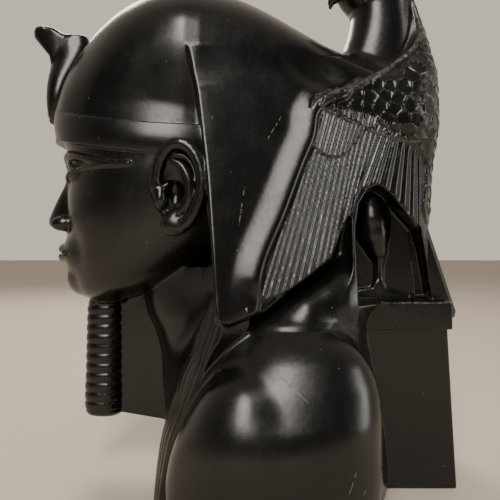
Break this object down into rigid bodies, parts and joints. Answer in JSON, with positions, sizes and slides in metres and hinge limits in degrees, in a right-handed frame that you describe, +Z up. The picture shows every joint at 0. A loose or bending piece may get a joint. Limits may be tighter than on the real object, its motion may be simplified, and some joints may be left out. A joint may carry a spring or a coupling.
{
  "type": "pharaoh bust",
  "caption": "Black cast bust of a crowned figure in a smooth headcloth with brow serpent and plaited beard, a falcon spreading its wings behind the head.",
  "frame": {"origin": "middle of the underside's outline box, on the table", "axes": "+Z up along the height, -Y the way the face looks, +X the figure's left shoulder; mirror-symmetric about X = 0"},
  "size_m": [0.1954, 0.246, 0.3],
  "materials": {
    "black_cast_stone": "satin"
  },
  "bodies": {
    "root": {"bust": "black_cast_stone"}
  },
  "joints": []
}
